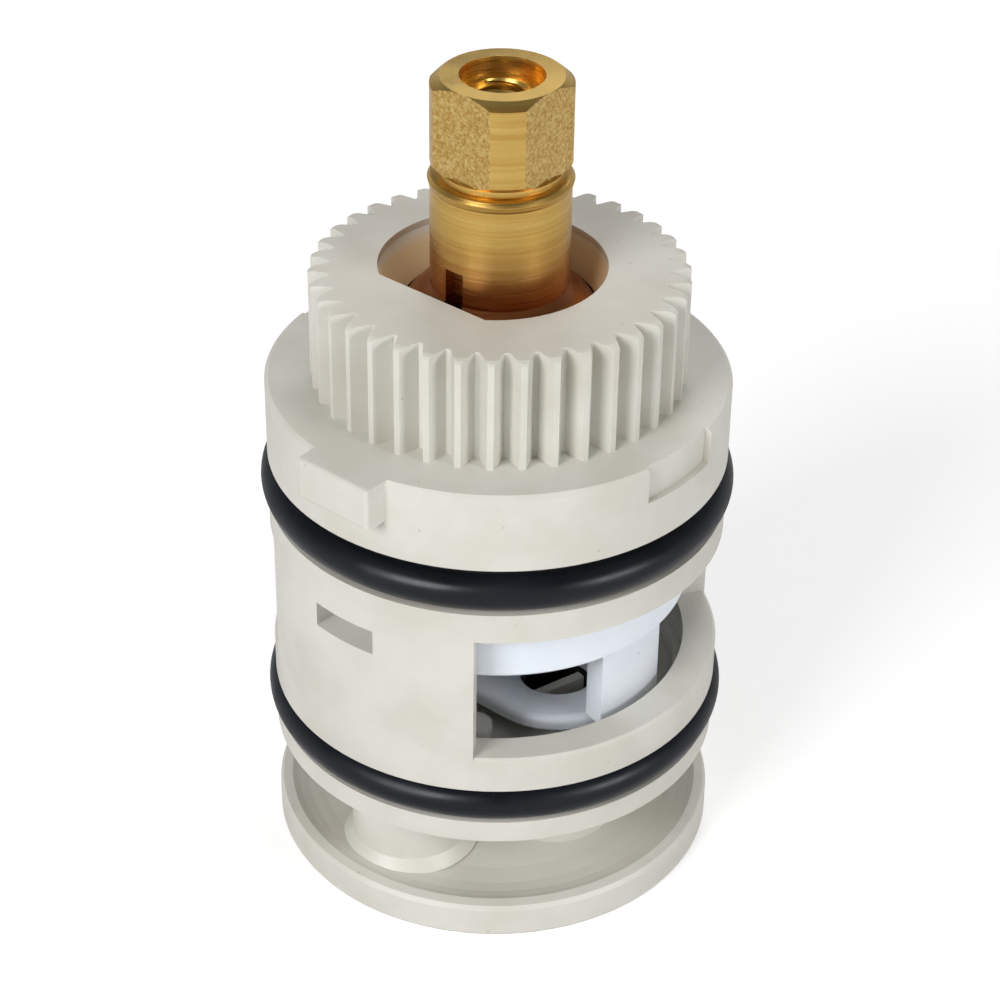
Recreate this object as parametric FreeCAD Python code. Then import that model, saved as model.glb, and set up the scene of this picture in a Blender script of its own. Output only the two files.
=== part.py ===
import FreeCAD, Part
import os
import math

# Single handle faucet cartridge, millimetres, +Z up along the stem.
# The origin is the centre of the underside of the foot.
# The lug, the flat of the stem opening and the closed wall of the cage face -Y.
# Angles called "turn" are degrees about Z measured from -Y towards +X.
#
# The cap is held down in the valve body by a nut on its rim.
# The stem tilts about the pivot pin and turns with the rotor.
# Its tail pushes the valve shoe over the two spring loaded rubber seats.

os.makedirs("parts", exist_ok=True)

V = FreeCAD.Vector
UP = V(0, 0, 1)
CENTRE = V(0, 0, 0)

# Driving dimensions
flange_r = 16.2
cord_r = 1.31
seal_outer_r = 16.7
foot_top = 2.75
drum_low = 8.7
drum_top = 16.2
floor_z = 12.2
step_z = 13.9
chamber_r = 13.2
mouth_r = 13.8
lower_seal_z = 12.0
upper_seal_z = 29.9
wall_half = 35.0
wall_inner_r = 14.0
skirt_inner_r = 15.0
flange_low = 26.15
cap_low = 32.0
cap_top = 37.8
ring_top = 45.8
stem_top = 59.9
bar_r = 4.76
ball_r = 8.0
ball_z = 38.5
port_x = 5.85
tilt_arm = 13.5

# Named clearances
turn_fit = 0.10
ball_fit = 0.10
pin_fit = 0.03
rest_gap = 0.05

# Sizes that follow
groove_r = seal_outer_r - 2 * cord_r
groove_half = cord_r + 0.19
rotor_band_r = 13.8
rotor_neck_r = 12.30
rotor_bore_r = rotor_neck_r + turn_fit
collar_r = 9.60
collar_bore_r = collar_r + turn_fit
collar_top = 40.7


def ring(outer, inner, low, high, x=0.0, y=0.0):
    """Plain tube between two heights."""
    body = Part.makeCylinder(outer, high - low, V(x, y, low), UP)
    hole = Part.makeCylinder(inner, high - low + 2, V(x, y, low - 1), UP)
    return body.cut(hole)


def disc(radius, low, high, x=0.0, y=0.0):
    """Plain cylinder between two heights."""
    return Part.makeCylinder(radius, high - low, V(x, y, low), UP)


def block(x0, x1, y0, y1, z0, z1):
    """Box given by its limits."""
    return Part.makeBox(x1 - x0, y1 - y0, z1 - z0, V(x0, y0, z0))


def polar(radius, turn):
    """Point in the plane at a radius and a turn from -Y towards +X."""
    a = math.radians(turn)
    return (radius * math.sin(a), -radius * math.cos(a))


def sector(outer, inner, low, high, mid, half):
    """Part of a tube that covers mid - half to mid + half."""
    tube = Part.makeCylinder(outer, high - low, V(0, 0, low), UP, 2 * half)
    tube.rotate(CENTRE, UP, mid - half - 90)
    hole = Part.makeCylinder(inner, high - low + 2, V(0, 0, low - 1), UP)
    return tube.cut(hole)


def turned(points):
    """Solid of revolution about Z from (radius, z) points."""
    wire = Part.makePolygon([V(r, 0, z) for r, z in points + points[:1]])
    return Part.Face(wire).revolve(CENTRE, UP, 360)


def stadium(half_x, radius, low, high, x=0.0, y=0.0, along_y=False):
    """Slot shape: two round ends joined by straight sides."""
    if along_y:
        middle = block(x - radius, x + radius, y - half_x, y + half_x, low, high)
        first = disc(radius, low, high, x, y - half_x)
        second = disc(radius, low, high, x, y + half_x)
    else:
        middle = block(x - half_x, x + half_x, y - radius, y + radius, low, high)
        first = disc(radius, low, high, x - half_x, y)
        second = disc(radius, low, high, x + half_x, y)
    return middle.fuse([first, second]).removeSplitter()


def loop(radius, section, height):
    """O-ring."""
    return Part.makeTorus(radius, section, V(0, 0, height), UP)


def save(shape, name):
    """Write one node."""
    shape.exportStep("parts/" + name + ".step")


# Stem: turned brass bar with a square head, a ball and a tail
head_half = 4.1
head_low = 53.6
neck_low = 53.1
collar_low = 52.2
neck_r = 4.25
collar_big_r = 4.92
screw_r = 1.9
screw_depth = 9.6
counter_r = 2.85
counter_depth = 1.6
tail_r = 1.6
foot_r = 2.2
foot_z = ball_z - tilt_arm
pin_r = 1.25

profile = [
    (0, foot_z),
    (tail_r, foot_z),
    (tail_r, ball_z),
    (bar_r, ball_z),
    (bar_r, collar_low),
    (collar_big_r - 0.08, collar_low + 0.15),
    (collar_big_r, collar_low + 0.45),
    (collar_big_r, neck_low - 0.4),
    (collar_big_r - 0.2, neck_low - 0.15),
    (neck_r, neck_low),
    (neck_r, head_low - 0.1),
    (bar_r, head_low + 0.35),
    (bar_r, stem_top - 0.5),
    (bar_r - 0.65, stem_top),
    (0, stem_top),
]
stem = turned(profile)
# Four flats are milled on the head and leave the bar's round at the corners
for side in range(4):
    flat = block(head_half, 8, -8, 8, head_low - 0.02, stem_top + 1)
    flat.rotate(CENTRE, UP, 90 * side)
    stem = stem.cut(flat)
ball = Part.makeSphere(ball_r, V(0, 0, ball_z))
stem = stem.fuse([ball, Part.makeSphere(foot_r, V(0, 0, foot_z))])
stem = stem.cut(disc(counter_r, stem_top - counter_depth, stem_top + 1))
stem = stem.cut(disc(screw_r, stem_top - screw_depth, stem_top))
# Slot in the ball and the shank's foot
stem = stem.cut(block(-0.75, 0.75, -9, -3.9, 41.5, 47.3))
pin_hole = Part.makeCylinder(pin_r + pin_fit, 20, V(-10, 0, ball_z), V(1, 0, 0))
stem = stem.cut(pin_hole)
save(stem, "stem")

# Pivot pin: lies along X through the ball and into the rotor's collar
pin_half = 9.35
pin = Part.makeCylinder(pin_r, 2 * pin_half, V(-pin_half, 0, ball_z), V(1, 0, 0))
save(pin, "pivot_pin")

# Cap: rim, splined ring, lug and the ball's upper socket in one moulding
spline_n = 38
tip_r = 13.0
root_r = 11.55
spigot_r = groove_r
spigot_top = 34.6
socket_r = ball_r + ball_fit
socket_lip_z = 43.2
cap = disc(flange_r, cap_low, cap_top)
cap = cap.makeChamfer(0.25, [e for e in cap.Edges if e.BoundBox.ZMin > cap_top - 0.01])
pitch = 360.0 / spline_n
teeth = []
for n in range(spline_n):
    for shift, radius in ((-0.42, root_r), (-0.10, tip_r), (0.10, tip_r), (0.42, root_r)):
        x, y = polar(radius, (n + shift) * pitch)
        teeth.append(V(x, y, cap_top - 0.5))
teeth.append(teeth[0])
spline = Part.Face(Part.makePolygon(teeth)).extrude(V(0, 0, ring_top - cap_top + 0.5))
# The teeth are rounded over at the top
crown = turned([
    (0, cap_top - 1),
    (tip_r + 0.2, cap_top - 1),
    (tip_r + 0.2, ring_top - 0.35),
    (tip_r - 0.2, ring_top - 0.08),
    (tip_r - 0.5, ring_top),
    (0, ring_top),
])
cap = cap.fuse(spline.common(crown))
lug = block(-2.5, 3.7, -17.5, -14.5, 34.7, cap_top)
lug_edges = [e for e in lug.Edges if e.BoundBox.YMax < -17.3]
lug = lug.makeFillet(0.3, lug_edges)
cap = cap.fuse(lug)
# Shallow recesses in the rim on either side
for side in (90, -90):
    cap = cap.cut(sector(flange_r + 1, flange_r - 0.5, 35.2, cap_top + 1, side, 12))
cap = cap.cut(disc(spigot_r + rest_gap, cap_low - 1, spigot_top + rest_gap))
cap = cap.cut(disc(collar_bore_r, cap_low, 41.3))
cap = cap.cut(Part.makeSphere(socket_r, V(0, 0, ball_z)))
# Opening for the stem: a circle with a flat at the front, narrowed downwards
open_r = 7.85
open_x = -0.7
open_y = 0.1
flat_y = -6.2
lip_r = 6.62
flat_face = block(-12, 12, -12, flat_y, 40, 50)
wide = disc(open_r, ring_top - 0.5, ring_top + 1, open_x, open_y)
lip = Part.Wire(Part.makeCircle(lip_r, V(0, 0, socket_lip_z - 0.3), UP))
rim = Part.Wire(Part.makeCircle(open_r, V(open_x, open_y, ring_top - 0.5), UP))
funnel = Part.makeLoft([lip, rim], True).fuse(wide).cut(flat_face)
throat = disc(lip_r, socket_lip_z - 1.0, socket_lip_z + 0.5)
throat = throat.cut(flat_face)
cap = cap.cut(funnel.fuse(throat))
save(cap, "cap")

# Body: neck and flange under the cap, with the two walls of the cage
neck_low_z = upper_seal_z - groove_half
body = disc(flange_r, flange_low, neck_low_z).fuse(disc(groove_r, flange_low, spigot_top))
for front in (0, 180):
    wall = sector(flange_r, wall_inner_r, drum_top, flange_low + 0.5, front, wall_half)
    skirt_low = lower_seal_z + groove_half - 0.1
    skirt = sector(flange_r, skirt_inner_r, skirt_low, drum_top, front, wall_half)
    body = body.fuse([wall, skirt])
body = body.cut(disc(rotor_bore_r, flange_low - 1, spigot_top + 1))
window = block(-2.6, 2.6, -18, -12, 23.4, 25.3)
body = body.cut(window)
save(body, "body")

# Base: foot disc, inlet tubes, posts and the lower drum
tube_r = 4.5
post_r = 4.3
post_y = 9.4
inlet_r = 2.4
pocket_r = 3.5
pocket_low = 6.2
seal_pocket_r = 4.0
seal_pocket_top = 1.8
groove_low = lower_seal_z - groove_half + 0.1
groove_high = lower_seal_z + groove_half - 0.1
foot = turned([
    (0, 0),
    (flange_r - 0.15, 0),
    (flange_r, 0.25),
    (flange_r, foot_top - 0.45),
    (flange_r - 0.2, foot_top - 0.1),
    (flange_r - 0.9, foot_top),
    (flange_r - 1.4, foot_top - 0.2),
    (flange_r - 2.1, foot_top - 0.4),
    (flange_r - 3.2, foot_top - 0.58),
    (flange_r - 5.0, foot_top - 0.7),
    (0, foot_top - 0.7),
])
drum = disc(flange_r, drum_low, drum_top)
drum = drum.makeChamfer(0.2, [drum.Edges[0], drum.Edges[2]])
drum = drum.cut(ring(flange_r + 1, groove_r, groove_low, groove_high))
base = foot.fuse(drum)
for x in (-port_x, port_x):
    base = base.fuse(disc(tube_r, 1, drum_low + 1, x, 0))
for y in (-post_y, post_y):
    base = base.fuse(disc(post_r, 1, drum_low + 1, 0, y))
    flare = Part.makeCone(post_r + 0.7, post_r, 0.9, V(0, y, foot_top - 0.6), UP)
    base = base.fuse(flare)
# Ribs under the drum tie the posts to the tubes
for x in (-1, 1):
    for y in (-1, 1):
        web = block(-2.8, 2.8, -0.6, 0.6, drum_low - 1.1, drum_low + 0.5)
        web.rotate(CENTRE, UP, -45 * x * y)
        web.translate(V(x * 4.6, y * 5.4, 0))
        base = base.fuse(web)
base = base.cut(disc(chamber_r, floor_z, drum_top + 1))
base = base.cut(disc(mouth_r, step_z, drum_top + 1))
for front in (0, 180):
    notch = sector(flange_r + 1, skirt_inner_r, groove_high, drum_top + 1, front, wall_half)
    base = base.cut(notch)
for x in (-port_x, port_x):
    base = base.cut(disc(inlet_r, -1, pocket_low + 1, x, 0))
    base = base.cut(disc(pocket_r, pocket_low, floor_z + 1, x, 0))
    base = base.cut(disc(seal_pocket_r, -1, seal_pocket_top, x, 0))
# The posts are cored from below, as thick plastic is
for y in (-post_y, post_y):
    base = base.cut(disc(post_r - 1.4, -1, drum_low + 0.6, 0, y))
# Stop bosses on the chamber floor
boss_top = 13.25
for turn in (31, -31, 149, -149):
    x, y = polar(8.4, turn)
    base = base.fuse(disc(1.2, floor_z - 0.5, boss_top, x, y))
save(base, "base")

# O-rings that seal the cartridge in the valve body
save(loop(seal_outer_r - cord_r, cord_r, upper_seal_z), "upper_oring")
save(loop(seal_outer_r - cord_r, cord_r, lower_seal_z), "lower_oring")

# Rotor: turns with the stem, carries the pin and guides the shoe
band_low = 21.4
band_top = flange_low - turn_fit
shoulder_z = 33.4
cup_r = 8.4
cup_low = 30.6
leg_outer_r = 12.95
leg_inner_r = 10.9
leg_low = 14.85
leg_hollow_r = 5.75
boss_r = 3.4
travel = tilt_arm * math.radians(16)
rotor = disc(rotor_band_r, band_low, band_top)
rotor = rotor.makeChamfer(0.3, [e for e in rotor.Edges if e.BoundBox.ZMax < band_low + 0.01])
rotor = rotor.fuse([disc(rotor_neck_r, band_top, shoulder_z), disc(collar_r, shoulder_z, collar_top)])
rotor = rotor.cut(disc(cup_r, cup_low, collar_top + 1))
guide_r = boss_r + 0.07
guide_mid = -travel / 2
guide = stadium(travel / 2 + 0.15, guide_r, band_low - 1, 27.3, 0, guide_mid, True)
swing = stadium(2.1, 2.6, 27, cup_low + 1, 0, -1.55, True)
rotor = rotor.cut([guide, swing])
# Two curved legs reach down past the ends of the shoe
for side in (90, -90):
    leg = sector(leg_outer_r, leg_inner_r, leg_low, band_low + 0.5, side, 14.5)
    leg = leg.cut(disc(leg_hollow_r, leg_low - 1, band_low + 1, math.copysign(port_x, side), 0))
    rotor = rotor.fuse(leg)
# Cored pockets either side of the guide keep the walls even
for x in (-1, 1):
    rotor = rotor.cut(stadium(3.0, 2.6, band_low - 1, 28.2, x * 8.1, 0, True))
pin_bore = Part.makeCylinder(pin_r, 2 * collar_r, V(-collar_r, 0, ball_z), V(1, 0, 0))
rotor = rotor.cut(pin_bore)
rotor_cord_r = 0.89
rotor_seal_r = rotor_bore_r - rest_gap - rotor_cord_r
seat_r = rotor_seal_r - rotor_cord_r
groove = ring(rotor_neck_r + 1, seat_r, upper_seal_z - 1.1, upper_seal_z + 1.1)
rotor = rotor.cut(groove)
save(rotor, "rotor")
save(loop(rotor_seal_r, rotor_cord_r, upper_seal_z), "rotor_oring")

# Ball seat: acetal ring that carries the ball from below
seat_top = 34.0
bearing_r = ball_r + 0.06
seat = disc(cup_r, cup_low, seat_top)
seat = seat.cut(Part.makeSphere(bearing_r, V(0, 0, ball_z)))
seat = seat.cut(stadium(2.1, 2.7, cup_low - 1, seat_top, 0, -1.4, True))
save(seat, "ball_seat")

# Stem seal: rubber ring round the ball, on top of the ball seat
seal_top = 35.4
seal = ring(cup_r, 6.0, seat_top, seal_top)
seal = seal.cut(Part.makeSphere(bearing_r, V(0, 0, ball_z)))
save(seal, "stem_seal")

# Thrust washer: between the rotor's collar and the cap
save(ring(collar_r, 8.15, collar_top, 41.3 - rest_gap), "thrust_washer")

# Valve shoe: thick rounded plate with two ports, and the boss for the tail
plate_low = 13.4
plate_top = 14.7
end_r = 5.85
port_r = 2.7
shoe = stadium(port_x, end_r, plate_low, plate_top)
top_edges = [e for e in shoe.Edges if e.BoundBox.ZMin > plate_top - 0.01]
shoe = shoe.makeFillet(0.55, top_edges)
low_edges = [e for e in shoe.Edges if e.BoundBox.ZMax < plate_low + 0.01]
shoe = shoe.makeChamfer(0.3, low_edges)
shoe = shoe.fuse(disc(boss_r, plate_top - 0.5, foot_z + 1.6))
for x in (-1, 1):
    shoe = shoe.cut(disc(port_r, plate_low - 1, plate_top + 1, x * port_x, 0))
    edge = Part.makeCone(port_r, port_r + 0.8, 0.8, V(x * port_x, 0, plate_top - 0.35), UP)
    shoe = shoe.cut(edge)
shoe = shoe.cut(disc(foot_r + 0.1, foot_z - foot_r - 0.1, foot_z + 5))
save(shoe, "valve_shoe")

# Seats, springs and inserts for the two inlets, and the seals under the foot
seat_r = pocket_r - rest_gap
seat_hole = 2.4
seat_low = 9.9
seat_high = plate_low - rest_gap
wire_r = 0.32
coil_r = 2.75
coil_turns = 3.0
for name, x in (("hot", -port_x), ("cold", port_x)):
    rubber = ring(seat_r, seat_hole, seat_low, seat_high, x, 0)
    top_edges = [e for e in rubber.Edges if e.BoundBox.ZMin > seat_high - 0.01]
    rubber = rubber.makeChamfer(0.3, top_edges)
    save(rubber, name + "_seat")
    # Insert: stiff sleeve with a rib across it, which keeps the rubber round
    insert = ring(seat_hole, seat_hole - 0.45, seat_low, seat_low + 0.9, x, 0)
    rib = block(-seat_hole + 0.1, seat_hole - 0.1, -0.35, 0.35, seat_low, seat_high - 0.1)
    rib.rotate(CENTRE, UP, 75)
    rib.translate(V(x, 0, 0))
    save(insert.fuse(rib), name + "_seat_insert")
    save(ring(seal_pocket_r, inlet_r + 0.3, 0, seal_pocket_top, x, 0), name + "_inlet_seal")

# Springs: each coil's ends touch its pocket's floor and the rubber above
height = seat_low - pocket_low - 2 * wire_r
helix = Part.makeHelix(height / coil_turns, height, coil_r)
helix.translate(V(-port_x, 0, pocket_low + wire_r))
start = V(coil_r - port_x, 0, pocket_low + wire_r)
section = Part.Wire(Part.makeCircle(wire_r, start, V(0, 1, 0)))
spring = Part.Wire(helix.Edges).makePipeShell([section], True, True)
save(spring, "hot_seat_spring")
other = spring.copy()
other.rotate(CENTRE, UP, 180)
save(other, "cold_seat_spring")
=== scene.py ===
import math

import bpy
import numpy as np
from mathutils import Matrix


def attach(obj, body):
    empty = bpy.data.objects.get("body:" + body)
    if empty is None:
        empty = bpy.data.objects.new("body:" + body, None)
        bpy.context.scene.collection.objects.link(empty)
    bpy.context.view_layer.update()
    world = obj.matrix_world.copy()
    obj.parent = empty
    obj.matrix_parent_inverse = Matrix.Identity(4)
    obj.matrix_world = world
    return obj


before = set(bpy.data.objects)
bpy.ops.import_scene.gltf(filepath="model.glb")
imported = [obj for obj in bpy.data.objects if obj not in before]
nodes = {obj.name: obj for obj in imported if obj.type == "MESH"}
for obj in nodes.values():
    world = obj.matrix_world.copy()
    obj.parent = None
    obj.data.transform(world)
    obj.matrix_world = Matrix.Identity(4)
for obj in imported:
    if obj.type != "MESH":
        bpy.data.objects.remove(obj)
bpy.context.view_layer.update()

# Cap, cage body and base: the housing, injection moulded in acetal.
# It is a warm, slightly grey white with a satin skin, and the thin edges
# let a little light in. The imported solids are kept, with this finish.

housing_light = "#D6D4CC"
housing_shade = "#CDCAC0"
dust_colour = "#A79F90"
# Painted light: a warm gold glow painted into the colour inside the cap's stem opening.
painted_throat_glow = "#D9BE8C"
# Metres. The painted glow inside the stem opening is full up to the first value and gone at the second.
glow_radii = (0.0079, 0.0086)
glow_heights = (0.0449, 0.0457)


def linear(code):
    """sRGB hex text to linear colour: c / 12.92 up to 0.04045, else ((c + 0.055) / 1.055) ** 2.4."""
    c = np.array([int(code[i : i + 2], 16) / 255 for i in (1, 3, 5)])
    c = np.where(c <= 0.04045, c / 12.92, ((c + 0.055) / 1.055) ** 2.4)
    return (*[float(v) for v in c], 1.0)


def add(tree, kind, links=None, values=None, **settings):
    """Adds one node, sets its settings and socket values, and links its inputs."""
    node = tree.nodes.new("ShaderNode" + kind)
    for name, value in settings.items():
        setattr(node, name, value)
    for key, value in (values or {}).items():
        node.inputs[key].default_value = value
    for key, source in (links or {}).items():
        tree.links.new(source, node.inputs[key])
    return node


def new_material(name):
    """Empty material, its tree, its output node and its Object coordinates in metres."""
    material = bpy.data.materials.new(name)
    material.use_nodes = True
    tree = material.node_tree
    tree.nodes.clear()
    place = add(tree, "TexCoord").outputs["Object"]
    return material, tree, add(tree, "OutputMaterial"), place


def moulded_acetal(name, light, dark, rough, glow, painted_glow=None):
    """Acetal as it leaves a polished mould: cloudy mottle of 6 mm and a faint 0.25 mm skin texture.
    A painted glow colour warms the inside of the stem opening: painted light, standing in for light that has
    passed through the thin lip."""
    material, tree, out, place = new_material(name)
    cloud = add(tree, "TexNoise", {"Vector": place}, {"Scale": 1 / 0.006, "Detail": 3.0})
    tint = add(tree, "ValToRGB", {"Fac": cloud.outputs["Fac"]})
    tint.color_ramp.elements[0].position = 0.35
    tint.color_ramp.elements[0].color = linear(dark)
    tint.color_ramp.elements[1].position = 0.62
    tint.color_ramp.elements[1].color = linear(light)
    # Specks about a quarter of a millimetre across, one to each 2.4 mm, as dust in the moulding
    dust = add(tree, "TexVoronoi", {"Vector": place}, {"Scale": 1 / 0.0024})
    speck = add(
        tree,
        "MapRange",
        {"Value": dust.outputs["Distance"]},
        {"From Min": 0.035, "From Max": 0.05, "To Min": 0.45, "To Max": 0.0},
    )
    colour = add(
        tree,
        "Mix",
        {0: speck.outputs["Result"], 6: tint.outputs["Color"]},
        {7: linear(dust_colour)},
        data_type="RGBA",
    )
    # Painted light: the warm glow is painted into the colour inside the stem opening, below a set height.
    if painted_glow:
        axes = add(tree, "SeparateXYZ", {"Vector": place})
        flat = add(tree, "CombineXYZ", {"X": axes.outputs["X"], "Y": axes.outputs["Y"]})
        radius = add(tree, "VectorMath", {0: flat.outputs[0]}, operation="LENGTH")
        inside = add(
            tree,
            "MapRange",
            {"Value": radius.outputs["Value"]},
            {"From Min": glow_radii[0], "From Max": glow_radii[1], "To Min": 1.0, "To Max": 0.0},
        )
        under = add(
            tree,
            "MapRange",
            {"Value": axes.outputs["Z"]},
            {"From Min": glow_heights[0], "From Max": glow_heights[1], "To Min": 0.9, "To Max": 0.0},
        )
        glow_mask = add(tree, "Math", {0: inside.outputs["Result"], 1: under.outputs["Result"]}, operation="MULTIPLY")
        colour = add(
            tree,
            "Mix",
            {0: glow_mask.outputs[0], 6: colour.outputs[2]},
            {7: linear(painted_glow)},
            data_type="RGBA",
        )
    skin = add(tree, "TexNoise", {"Vector": place}, {"Scale": 1 / 0.00025, "Detail": 2.0})
    flow = add(tree, "TexNoise", {"Vector": place}, {"Scale": 1 / 0.0022, "Detail": 2.0})
    both = add(
        tree,
        "Math",
        {0: flow.outputs["Fac"], 1: skin.outputs["Fac"]},
        {2: 0.0},
        operation="MULTIPLY_ADD",
    )
    tree.links.new(skin.outputs["Fac"], both.inputs[2])
    relief = add(tree, "Bump", {"Height": both.outputs[0]}, {"Strength": 0.10, "Distance": 0.00004})
    gloss = add(
        tree,
        "MapRange",
        {"Value": flow.outputs["Fac"]},
        {"To Min": rough - 0.05, "To Max": rough + 0.06},
    )
    shader = add(
        tree,
        "BsdfPrincipled",
        {
            "Base Color": colour.outputs[2],
            "Normal": relief.outputs["Normal"],
            "Roughness": gloss.outputs["Result"],
        },
        {
            "IOR": 1.48,
            "Subsurface Weight": glow,
            "Subsurface Scale": 0.0012,
            "Subsurface Radius": (1.0, 0.9, 0.75),
        },
    )
    tree.links.new(shader.outputs[0], out.inputs["Surface"])
    return material


def dress(name, material):
    """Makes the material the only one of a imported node."""
    node = nodes[name]
    node.data.materials.clear()
    node.data.materials.append(material)


housing_white = moulded_acetal("housing_acetal_warm_white", housing_light, housing_shade, 0.42, 0.10)
for name in ("body", "base"):
    dress(name, housing_white)
# The cap also carries the painted warm glow inside its stem opening.
cap_white = moulded_acetal(
    "cap_acetal_warm_white", housing_light, housing_shade, 0.42, 0.10, painted_glow=painted_throat_glow
)
dress("cap", cap_white)

# Rotor and valve shoe: the moving parts, moulded in a cooler, brighter
# acetal that looks bluish beside the housing.
# The inserts, ball seat and washer are the same plastic in its natural shade.

moving_white = moulded_acetal("rotor_acetal_cool_white", "#E9EEF5", "#E0E6EF", 0.36, 0.2)
for name in ("rotor", "valve_shoe"):
    dress(name, moving_white)
natural = moulded_acetal("seat_acetal_natural", "#E6E2D6", "#DCD6C6", 0.4, 0.2)
for name in ("ball_seat", "thrust_washer", "hot_seat_insert", "cold_seat_insert"):
    dress(name, natural)

# O-rings, seats and inlet seals: black nitrile rubber, moulded and greased.
# The grease gives a soft blue-grey highlight, and the rubber keeps a fine grain.

rubber_dark = "#090B10"
rubber_light = "#10151E"


def nitrile(name, grease):
    """Black rubber: grain of 0.2 mm, and grease that varies the gloss over 4 mm."""
    material, tree, out, place = new_material(name)
    film = add(tree, "TexNoise", {"Vector": place}, {"Scale": 1 / 0.004, "Detail": 4.0})
    gloss = add(
        tree,
        "MapRange",
        {"Value": film.outputs["Fac"]},
        {"From Min": 0.3, "From Max": 0.7, "To Min": grease, "To Max": grease + 0.2},
    )
    grain = add(tree, "TexNoise", {"Vector": place}, {"Scale": 1 / 0.0002, "Detail": 2.0})
    relief = add(tree, "Bump", {"Height": grain.outputs["Fac"]}, {"Strength": 0.12, "Distance": 0.00003})
    tint = add(tree, "ValToRGB", {"Fac": film.outputs["Fac"]})
    tint.color_ramp.elements[0].color = linear(rubber_dark)
    tint.color_ramp.elements[1].color = linear(rubber_light)
    shader = add(
        tree,
        "BsdfPrincipled",
        {
            "Base Color": tint.outputs["Color"],
            "Roughness": gloss.outputs["Result"],
            "Normal": relief.outputs["Normal"],
        },
        {"IOR": 1.5, "Specular IOR Level": 0.3},
    )
    tree.links.new(shader.outputs[0], out.inputs["Surface"])
    return material


ring_rubber = nitrile("nitrile_oring_greased", 0.26)
for name in ("upper_oring", "lower_oring", "rotor_oring", "stem_seal"):
    dress(name, ring_rubber)
seat_rubber = nitrile("nitrile_seat", 0.38)
for name in ("hot_seat", "cold_seat", "hot_inlet_seal", "cold_inlet_seal"):
    dress(name, seat_rubber)

# Pin and springs: ground stainless pin and drawn stainless wire.
# Grinding and drawing leave both with a fine grain that breaks up the gloss.

steel_grey = "#B9B8B4"


def stainless(name, rough):
    """Ground or drawn stainless steel with a grain of 0.1 mm marks."""
    material, tree, out, place = new_material(name)
    marks = add(tree, "TexNoise", {"Vector": place}, {"Scale": 1 / 0.0001, "Detail": 3.0})
    gloss = add(
        tree,
        "MapRange",
        {"Value": marks.outputs["Fac"]},
        {"To Min": rough - 0.08, "To Max": rough + 0.12},
    )
    relief = add(tree, "Bump", {"Height": marks.outputs["Fac"]}, {"Strength": 0.08, "Distance": 0.00001})
    shader = add(
        tree,
        "BsdfPrincipled",
        {"Roughness": gloss.outputs["Result"], "Normal": relief.outputs["Normal"]},
        {"Base Color": linear(steel_grey), "Metallic": 1.0},
    )
    tree.links.new(shader.outputs[0], out.inputs["Surface"])
    return material


pin_steel = stainless("stainless_ground", 0.28)
wire_steel = stainless("stainless_drawn_wire", 0.32)
dress("pivot_pin", pin_steel)
for name in ("hot_seat_spring", "cold_seat_spring"):
    dress(name, wire_steel)

# Stem: free-cutting brass bar, turned, then milled square at the head.
# Turned faces keep rings 0.14 mm apart, and the milled flats a rough speckle with painted glints.
# The lower shank is painted a reddish brown: a painted reflection.

brass_shade = "#CB9F52"
brass_light = "#E0BE6E"
# Painted highlight: pale and darker spots painted on the milled flats as glints.
torn_glint_shade = "#BC914A"
torn_glint_light = "#E6CB86"
# Painted reflection: the reddish brown painted on the lower shank.
shank_painted_reflection = "#9A4A30"
# Metres: the flats' distance from the axis and how far the match may be off,
# the height above which they lie, and the heights between which the painted reddish-brown reflection fades
flat_distance = 0.0041
flat_slack = 0.00003
flats_from = 0.0536
painted_reflection_heights = (0.0452, 0.0502)


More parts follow.
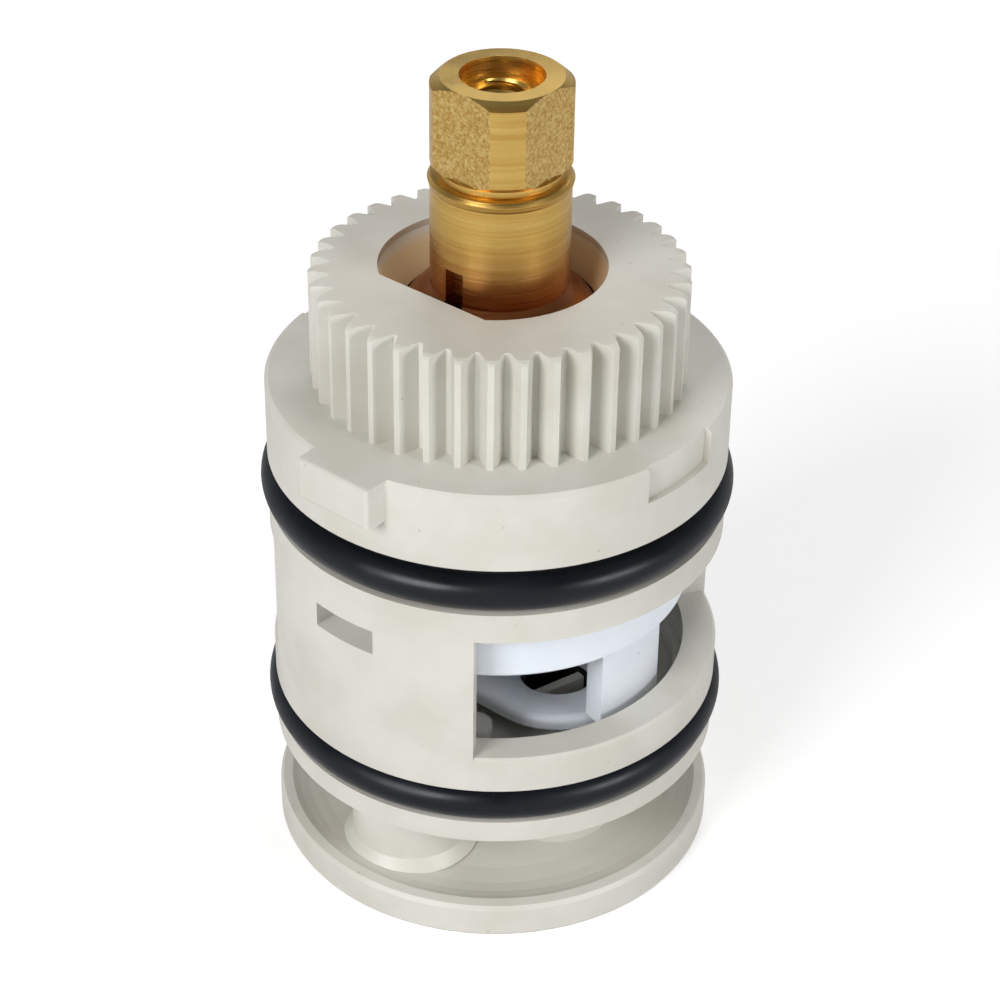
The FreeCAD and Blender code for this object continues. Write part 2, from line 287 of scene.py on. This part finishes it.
def turned_brass():
    """Brass whose marks are rings in z on round faces and a speckle on the four flats.
    A point is on a flat where the larger of abs x and abs y is the flats' distance, above their foot."""
    material, tree, out, place = new_material("brass_turned_bar")
    axes = add(tree, "SeparateXYZ", {"Vector": place})
    ax = add(tree, "Math", {0: axes.outputs["X"]}, operation="ABSOLUTE")
    ay = add(tree, "Math", {0: axes.outputs["Y"]}, operation="ABSOLUTE")
    widest = add(tree, "Math", {0: ax.outputs[0], 1: ay.outputs[0]}, operation="MAXIMUM")
    near = add(tree, "Math", {0: widest.outputs[0]}, {1: flat_distance, 2: flat_slack}, operation="COMPARE")
    high = add(tree, "Math", {0: axes.outputs["Z"]}, {1: flats_from}, operation="GREATER_THAN")
    flat = add(tree, "Math", {0: near.outputs[0], 1: high.outputs[0]}, operation="MULTIPLY")
    stretched = add(tree, "Mapping", {"Vector": place}, {"Scale": (0.02, 0.02, 1.0)})
    rings = add(
        tree,
        "TexNoise",
        {"Vector": stretched.outputs[0]},
        {"Scale": 1 / 0.00014, "Detail": 3.0, "Roughness": 0.6},
    )
    bands = add(tree, "TexNoise", {"Vector": stretched.outputs[0]}, {"Scale": 1 / 0.0004, "Detail": 2.0})
    speck = add(
        tree,
        "TexNoise",
        {"Vector": place},
        {"Scale": 1 / 0.0002, "Detail": 4.0, "Roughness": 0.65},
    )
    height = add(
        tree,
        "Mix",
        {0: flat.outputs[0], 2: rings.outputs["Fac"], 3: speck.outputs["Fac"]},
        data_type="FLOAT",
    )
    relief = add(tree, "Bump", {"Height": height.outputs[0]}, {"Strength": 0.45, "Distance": 0.00003})
    gold = add(tree, "ValToRGB", {"Fac": bands.outputs["Fac"]})
    gold.color_ramp.elements[0].position = 0.3
    gold.color_ramp.elements[0].color = linear(brass_shade)
    gold.color_ramp.elements[1].position = 0.7
    gold.color_ramp.elements[1].color = linear(brass_light)
    # Painted reflection: reddish brown painted over the lower shank, full low down and gone above the upper
    # height.
    painted_reflection_fade = add(
        tree,
        "MapRange",
        {"Value": axes.outputs["Z"]},
        {"From Min": painted_reflection_heights[0], "From Max": painted_reflection_heights[1], "To Min": 0.8, "To Max": 0.0},
    )
    # The milled flats glitter: pale painted glints among darker spots, over the torn surface's real relief
    torn_glints = add(tree, "ValToRGB", {"Fac": speck.outputs["Fac"]})
    torn_glints.color_ramp.elements[0].position = 0.38
    torn_glints.color_ramp.elements[0].color = linear(torn_glint_shade)
    torn_glints.color_ramp.elements[1].position = 0.66
    torn_glints.color_ramp.elements[1].color = linear(torn_glint_light)
    face = add(
        tree,
        "Mix",
        {0: flat.outputs[0], 6: gold.outputs["Color"], 7: torn_glints.outputs["Color"]},
        data_type="RGBA",
    )
    colour = add(
        tree,
        "Mix",
        {0: painted_reflection_fade.outputs["Result"], 6: face.outputs[2]},
        {7: linear(shank_painted_reflection)},
        data_type="RGBA",
    )
    gloss = add(
        tree,
        "MapRange",
        {"Value": height.outputs[0]},
        {"From Min": 0.3, "From Max": 0.7, "To Min": 0.22, "To Max": 0.40},
    )
    shader = add(
        tree,
        "BsdfPrincipled",
        {
            "Base Color": colour.outputs[2],
            "Roughness": gloss.outputs["Result"],
            "Normal": relief.outputs["Normal"],
        },
        {"Metallic": 1.0},
    )
    tree.links.new(shader.outputs[0], out.inputs["Surface"])
    return material


brass = turned_brass()
dress("stem", brass)

# Thread in the head of the stem: tapped for the handle screw.
# Its crests stand 0.32 mm into the drilled hole, 1.058 mm apart, and fade out
# over the last half turn at each end.

thread_bore = 0.0019
thread_crest = 0.00158
thread_pitch = 0.001058
thread_foot = 0.0508
thread_top = 0.0587
thread_sunk = 0.00003  # how far the ridge's foot lies behind the hole's wall
steps_per_turn = 72


def screw_thread(bore, crest, pitch, painted_reflection_fade, high):
    """Helix of pitch along z. At angle a the ridge is a wedge on the bore's wall:
    base half width 0.42 pitch, crest flat 0.12 pitch."""
    turns = (high - painted_reflection_fade) / pitch
    a = np.linspace(0, 2 * math.pi * turns, int(steps_per_turn * turns))
    fade = np.clip(np.minimum(a, a[-1] - a) / math.pi, 0, 1)
    glow_mask = (bore - crest) * fade
    foot = 0.42 * pitch * (0.25 + 0.75 * fade)
    wall = bore + thread_sunk + 0 * a
    radii = np.stack([wall, bore - glow_mask, bore - glow_mask, wall], axis=1)
    rise = np.stack([-foot, -0.06 * pitch * fade, 0.06 * pitch * fade, foot], axis=1)
    z = painted_reflection_fade + a[:, None] * pitch / (2 * math.pi) + rise
    points = np.stack([radii * np.cos(a)[:, None], radii * np.sin(a)[:, None], z], axis=2)
    n = len(a)
    i = np.arange(n - 1)[:, None] * 4
    j = np.arange(4)[None, :]
    k = (j + 1) % 4
    faces = np.stack([i + j, i + k, i + 4 + k, i + 4 + j], axis=2).reshape(-1, 4)
    last = 4 * (n - 1)
    ends = [[3, 2, 1, 0], [last, last + 1, last + 2, last + 3]]
    mesh = bpy.data.meshes.new("screw_thread")
    mesh.from_pydata(points.reshape(-1, 3).tolist(), [], faces.tolist() + ends)
    piece = bpy.data.objects.new("screw_thread", mesh)
    bpy.context.collection.objects.link(piece)
    return piece


thread = screw_thread(thread_bore, thread_crest, thread_pitch, thread_foot, thread_top)
thread.data.materials.append(brass)
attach(thread, "stem_group")

# Floor: a plain pale sheet that the cartridge stands on.
# It is lit as the object is, and looks white to the camera and in reflections.

floor_half = 1.5
floor_mesh = bpy.data.meshes.new("floor")
floor_mesh.from_pydata(
    [
        (-floor_half, -floor_half, 0),
        (floor_half, -floor_half, 0),
        (floor_half, floor_half, 0),
        (-floor_half, floor_half, 0),
    ],
    [],
    [(0, 1, 2, 3)],
)
floor = bpy.data.objects.new("floor", floor_mesh)
bpy.context.collection.objects.link(floor)
floor_paint, tree, out, _ = new_material("floor_matt_white")
ray = add(tree, "LightPath")
diffuse = add(tree, "BsdfDiffuse", values={"Color": linear("#E8E8E8")})
lift = add(tree, "Emission", values={"Color": (1, 1, 1, 1), "Strength": 0.42})
both = add(tree, "AddShader", {0: diffuse.outputs[0], 1: lift.outputs[0]})
choice = add(
    tree,
    "MixShader",
    {0: ray.outputs["Is Camera Ray"], 1: diffuse.outputs[0], 2: both.outputs[0]},
)
tree.links.new(choice.outputs[0], out.inputs["Surface"])
floor_mesh.materials.append(floor_paint)

# Light and camera: a soft key from the upper left, a weaker fill from the
# right, a back light, and a pale surround. The camera is fitted to the rings
# in the photo.

world = bpy.data.worlds.new("studio")
world.use_nodes = True
sky = world.node_tree
sky.nodes.clear()
ray = add(sky, "LightPath")
plain = add(sky, "Background", values={"Color": (1, 1, 1, 1), "Strength": 0.25})
white = add(sky, "Background", values={"Color": (1, 1, 1, 1), "Strength": 1.0})
# Gloss sees a pale band at the horizon that falls to grey overhead
height = add(sky, "SeparateXYZ", {"Vector": add(sky, "TexCoord").outputs["Generated"]})
band = add(
    sky,
    "MapRange",
    {"Value": height.outputs["Z"]},
    {"From Min": 0.05, "From Max": 0.55, "To Min": 0.62, "To Max": 0.16},
)
mirror = add(sky, "Background", {"Strength": band.outputs["Result"]}, {"Color": (1, 1, 1, 1)})
dull = add(
    sky,
    "MixShader",
    {0: ray.outputs["Is Glossy Ray"], 1: plain.outputs[0], 2: mirror.outputs[0]},
)
pick = add(
    sky,
    "MixShader",
    {0: ray.outputs["Is Camera Ray"], 1: dull.outputs[0], 2: white.outputs[0]},
)
add(sky, "OutputWorld", {"Surface": pick.outputs[0]})
bpy.context.scene.world = world

camera_azimuth = 40
lamp_aim = (0, 0, 0.03)


def lamp(name, place, size, watts):
    """Square area lamp at a place in metres, turned to face the middle of the object."""
    data = bpy.data.lights.new(name, "AREA")
    data.size = size
    data.energy = watts
    lamp_object = bpy.data.objects.new(name, data)
    bpy.context.collection.objects.link(lamp_object)
    aim = np.array(lamp_aim) - np.array(place)
    back = -aim / np.linalg.norm(aim)
    side = np.cross((0, 0, 1), back)
    side = side / np.linalg.norm(side)
    up = np.cross(back, side)
    turn = np.array([side, up, back]).T
    lamp_object.matrix_world = Matrix.Translation(place) @ Matrix(turn.tolist()).to_4x4()


def around(turn, radius, height):
    """Place at a turn in degrees to the right of the camera, in metres."""
    a = math.radians(camera_azimuth + turn)
    return (radius * math.sin(a), -radius * math.cos(a), height)


lamp("key", around(-38, 0.5, 0.30), 0.26, 2.3)
lamp("fill", around(55, 0.5, 0.22), 0.16, 1.1)
lamp("back", around(170, 0.4, 0.5), 0.25, 0.8)

# The fit gives the camera's place in metres, its angles in radians and its
# focal length in pixels of the photo, all before the turn to its azimuth
eye = np.array([0.0, -0.158935, 0.132268])
pitch, yaw, roll = 0.5855, 0.0014, -0.014
focal_px = 2668.14
photo_px = 1000
sensor_mm = 36.0

view_turn = math.radians(camera_azimuth)
ahead = np.array([math.sin(yaw) * math.cos(pitch), math.cos(yaw) * math.cos(pitch), -math.sin(pitch)])
level = np.array([math.cos(yaw), -math.sin(yaw), 0.0])
down = np.cross(ahead, level)
right = level * math.cos(roll) + down * math.sin(roll)
below = -level * math.sin(roll) + down * math.cos(roll)
spin = np.array(
    [
        [math.cos(view_turn), -math.sin(view_turn), 0],
        [math.sin(view_turn), math.cos(view_turn), 0],
        [0, 0, 1],
    ]
)
axes = spin @ np.array([right, -below, -ahead]).T
camera_data = bpy.data.cameras.new("photo_camera")
camera_data.sensor_width = sensor_mm
camera_data.lens = focal_px / photo_px * sensor_mm
camera_data.clip_start = 0.01
camera = bpy.data.objects.new("photo_camera", camera_data)
bpy.context.collection.objects.link(camera)
camera.matrix_world = Matrix.Translation((spin @ eye).tolist()) @ Matrix(axes.tolist()).to_4x4()
bpy.context.scene.camera = camera
bpy.context.scene.view_settings.view_transform = "Standard"
